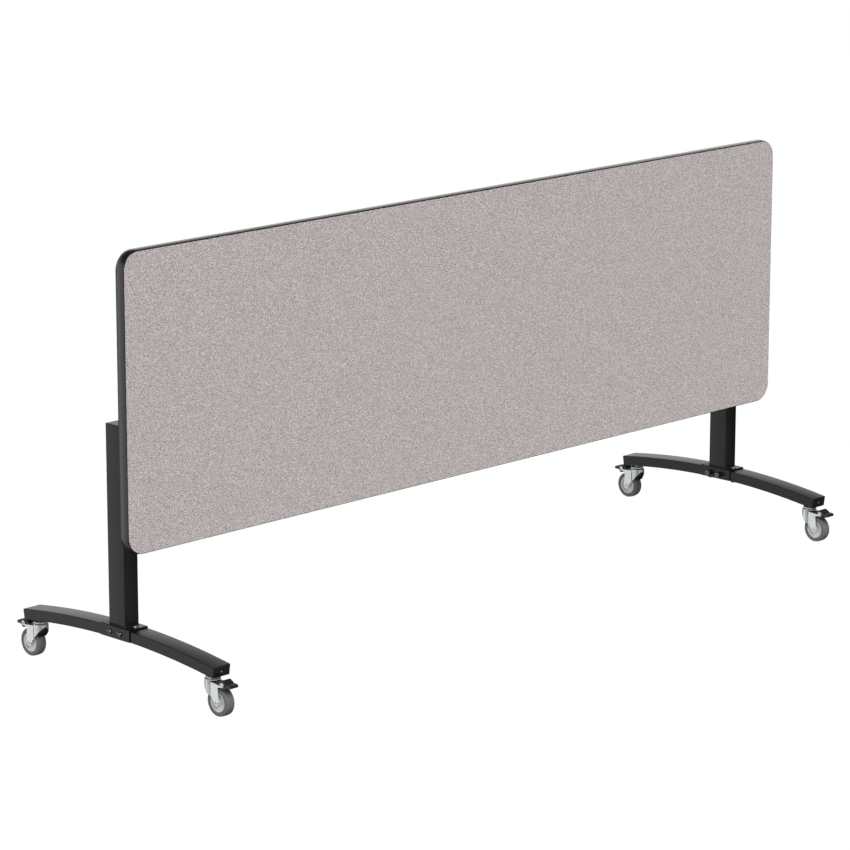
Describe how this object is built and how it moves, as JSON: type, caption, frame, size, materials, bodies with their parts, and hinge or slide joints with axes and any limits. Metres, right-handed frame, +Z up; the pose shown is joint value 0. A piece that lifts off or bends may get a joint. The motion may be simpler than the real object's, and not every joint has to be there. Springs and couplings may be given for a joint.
{
  "type": "flip-top panel table on castors",
  "caption": "Long rounded panel locked upright on two arched legs with braked swivel castors; it stands as a low screen and tilts flat as a table top.",
  "frame": {"origin": "on the floor, midway between the two legs and in the middle of each arched foot", "axes": "+X along the panel to the right as seen from its face, -Y the way the decorative face looks when it is upright, +Z up"},
  "size_m": [2.4384, 0.818, 1.1248],
  "materials": {
    "black_powder_coat": "fine matt black powder coat",
    "black_cap_plastic": "matt black moulded plastic",
    "blackened_bolt_steel": "blackened steel, low sheen",
    "bright_screw_steel": "bright plated steel",
    "zinc_plated_steel": "bright zinc plate, slightly blue",
    "grey_hub_plastic": "light grey moulded plastic",
    "grey_rubber": "mid grey non-marking rubber, matt",
    "black_nylon": "satin black moulded nylon",
    "particle_board": "raw particle board, hidden inside the panel",
    "speckled_laminate": "warm grey laminate with a fine light and dark speckle, satin",
    "plain_backer": "plain warm grey backing sheet, matt",
    "black_edge_band": "soft black moulded edge band, satin"
  },
  "bodies": {
    "frame": {"left_column": "black_powder_coat", "left_column_cap": "black_cap_plastic", "left_foot": "black_powder_coat", "left_front_foot_cap": "black_cap_plastic", "left_rear_foot_cap": "black_cap_plastic", "left_saddle": "black_powder_coat", "left_front_side_bolt": "blackened_bolt_steel", "left_rear_side_bolt": "blackened_bolt_steel", "left_front_down_bolt": "bright_screw_steel", "left_rear_down_bolt": "bright_screw_steel", "left_pivot_bracket": "black_powder_coat", "right_column": "black_powder_coat", "right_column_cap": "black_cap_plastic", "right_foot": "black_powder_coat", "right_front_foot_cap": "black_cap_plastic", "right_rear_foot_cap": "black_cap_plastic", "right_saddle": "black_powder_coat", "right_front_side_bolt": "blackened_bolt_steel", "right_rear_side_bolt": "blackened_bolt_steel", "right_front_down_bolt": "bright_screw_steel", "right_rear_down_bolt": "bright_screw_steel", "right_pivot_bracket": "black_powder_coat", "cross_beam": "black_powder_coat", "left_front_castor_head": "zinc_plated_steel", "left_rear_castor_head": "zinc_plated_steel", "right_front_castor_head": "zinc_plated_steel", "right_rear_castor_head": "zinc_plated_steel"},
    "panel": {"panel_core": "particle_board", "front_laminate": "speckled_laminate", "back_laminate": "plain_backer", "edge_band": "black_edge_band", "left_hinge_plate": "black_powder_coat", "right_hinge_plate": "black_powder_coat"},
    "release": {"release_bar": "zinc_plated_steel", "release_handle": "black_nylon"},
    "left_front_swivel": {"left_front_fork": "zinc_plated_steel", "left_front_axle": "zinc_plated_steel"},
    "left_front_wheel": {"left_front_hub": "grey_hub_plastic", "left_front_tyre": "grey_rubber"},
    "left_front_pedal": {"left_front_brake_pedal": "black_nylon"},
    "left_front_shoe": {"left_front_brake_shoe": "black_nylon"},
    "left_rear_swivel": {"left_rear_fork": "zinc_plated_steel", "left_rear_axle": "zinc_plated_steel"},
    "left_rear_wheel": {"left_rear_hub": "grey_hub_plastic", "left_rear_tyre": "grey_rubber"},
    "left_rear_pedal": {"left_rear_brake_pedal": "black_nylon"},
    "left_rear_shoe": {"left_rear_brake_shoe": "black_nylon"},
    "right_front_swivel": {"right_front_fork": "zinc_plated_steel", "right_front_axle": "zinc_plated_steel"},
    "right_front_wheel": {"right_front_hub": "grey_hub_plastic", "right_front_tyre": "grey_rubber"},
    "right_front_pedal": {"right_front_brake_pedal": "black_nylon"},
    "right_front_shoe": {"right_front_brake_shoe": "black_nylon"},
    "right_rear_swivel": {"right_rear_fork": "zinc_plated_steel", "right_rear_axle": "zinc_plated_steel"},
    "right_rear_wheel": {"right_rear_hub": "grey_hub_plastic", "right_rear_tyre": "grey_rubber"},
    "right_rear_pedal": {"right_rear_brake_pedal": "black_nylon"},
    "right_rear_shoe": {"right_rear_brake_shoe": "black_nylon"}
  },
  "joints": [
    {"name": "panel_tilt", "type": "hinge", "parent": "frame", "child": "panel", "pos_m": [0, -0.056, 0.686], "axis": [1, 0, 0], "range_deg": [-90, 0]},
    {"name": "release_turn", "type": "hinge", "parent": "panel", "child": "release", "pos_m": [0, -0.024, 0.686], "axis": [1, 0, 0], "range_deg": [0, 60]},
    {"name": "left_front_swivel_turn", "type": "hinge", "parent": "frame", "child": "left_front_swivel", "pos_m": [-1.1454, -0.33, 0.0951], "axis": [0, 0, 1], "continuous": true},
    {"name": "left_front_wheel_spin", "type": "hinge", "parent": "left_front_swivel", "child": "left_front_wheel", "pos_m": [-1.1454, -0.3585, 0.037], "axis": [1, 0, 0], "continuous": true},
    {"name": "left_front_pedal_press", "type": "hinge", "parent": "left_front_swivel", "child": "left_front_pedal", "pos_m": [-1.1454, -0.379, 0.085], "axis": [1, 0, 0], "range_deg": [0, 7]},
    {"name": "left_front_shoe_swing", "type": "hinge", "parent": "left_front_swivel", "child": "left_front_shoe", "pos_m": [-1.1454, -0.334, 0.0835], "axis": [1, 0, 0], "range_deg": [-5.6, 0]},
    {"name": "left_rear_swivel_turn", "type": "hinge", "parent": "frame", "child": "left_rear_swivel", "pos_m": [-1.1454, 0.33, 0.0951], "axis": [0, 0, 1], "continuous": true},
    {"name": "left_rear_wheel_spin", "type": "hinge", "parent": "left_rear_swivel", "child": "left_rear_wheel", "pos_m": [-1.1454, 0.3585, 0.037], "axis": [1, 0, 0], "continuous": true},
    {"name": "left_rear_pedal_press", "type": "hinge", "parent": "left_rear_swivel", "child": "left_rear_pedal", "pos_m": [-1.1454, 0.379, 0.085], "axis": [-1, 0, 0], "range_deg": [0, 7]},
    {"name": "left_rear_shoe_swing", "type": "hinge", "parent": "left_rear_swivel", "child": "left_rear_shoe", "pos_m": [-1.1454, 0.334, 0.0835], "axis": [-1, 0, 0], "range_deg": [-5.6, 0]},
    {"name": "right_front_swivel_turn", "type": "hinge", "parent": "frame", "child": "right_front_swivel", "pos_m": [1.1454, -0.33, 0.0951], "axis": [0, 0, 1], "continuous": true},
    {"name": "right_front_wheel_spin", "type": "hinge", "parent": "right_front_swivel", "child": "right_front_wheel", "pos_m": [1.1454, -0.3585, 0.037], "axis": [1, 0, 0], "continuous": true},
    {"name": "right_front_pedal_press", "type": "hinge", "parent": "right_front_swivel", "child": "right_front_pedal", "pos_m": [1.1454, -0.379, 0.085], "axis": [1, 0, 0], "range_deg": [0, 7]},
    {"name": "right_front_shoe_swing", "type": "hinge", "parent": "right_front_swivel", "child": "right_front_shoe", "pos_m": [1.1454, -0.334, 0.0835], "axis": [1, 0, 0], "range_deg": [-5.6, 0]},
    {"name": "right_rear_swivel_turn", "type": "hinge", "parent": "frame", "child": "right_rear_swivel", "pos_m": [1.1454, 0.33, 0.0951], "axis": [0, 0, 1], "continuous": true},
    {"name": "right_rear_wheel_spin", "type": "hinge", "parent": "right_rear_swivel", "child": "right_rear_wheel", "pos_m": [1.1454, 0.3585, 0.037], "axis": [1, 0, 0], "continuous": true},
    {"name": "right_rear_pedal_press", "type": "hinge", "parent": "right_rear_swivel", "child": "right_rear_pedal", "pos_m": [1.1454, 0.379, 0.085], "axis": [-1, 0, 0], "range_deg": [0, 7]},
    {"name": "right_rear_shoe_swing", "type": "hinge", "parent": "right_rear_swivel", "child": "right_rear_shoe", "pos_m": [1.1454, 0.334, 0.0835], "axis": [-1, 0, 0], "range_deg": [-5.6, 0]}
  ],
  "couplings": [
    {"joint": "left_front_shoe_swing", "follows": "left_front_pedal_press", "ratio": -0.8},
    {"joint": "left_rear_shoe_swing", "follows": "left_rear_pedal_press", "ratio": -0.8},
    {"joint": "right_front_shoe_swing", "follows": "right_front_pedal_press", "ratio": -0.8},
    {"joint": "right_rear_shoe_swing", "follows": "right_rear_pedal_press", "ratio": -0.8}
  ]
}
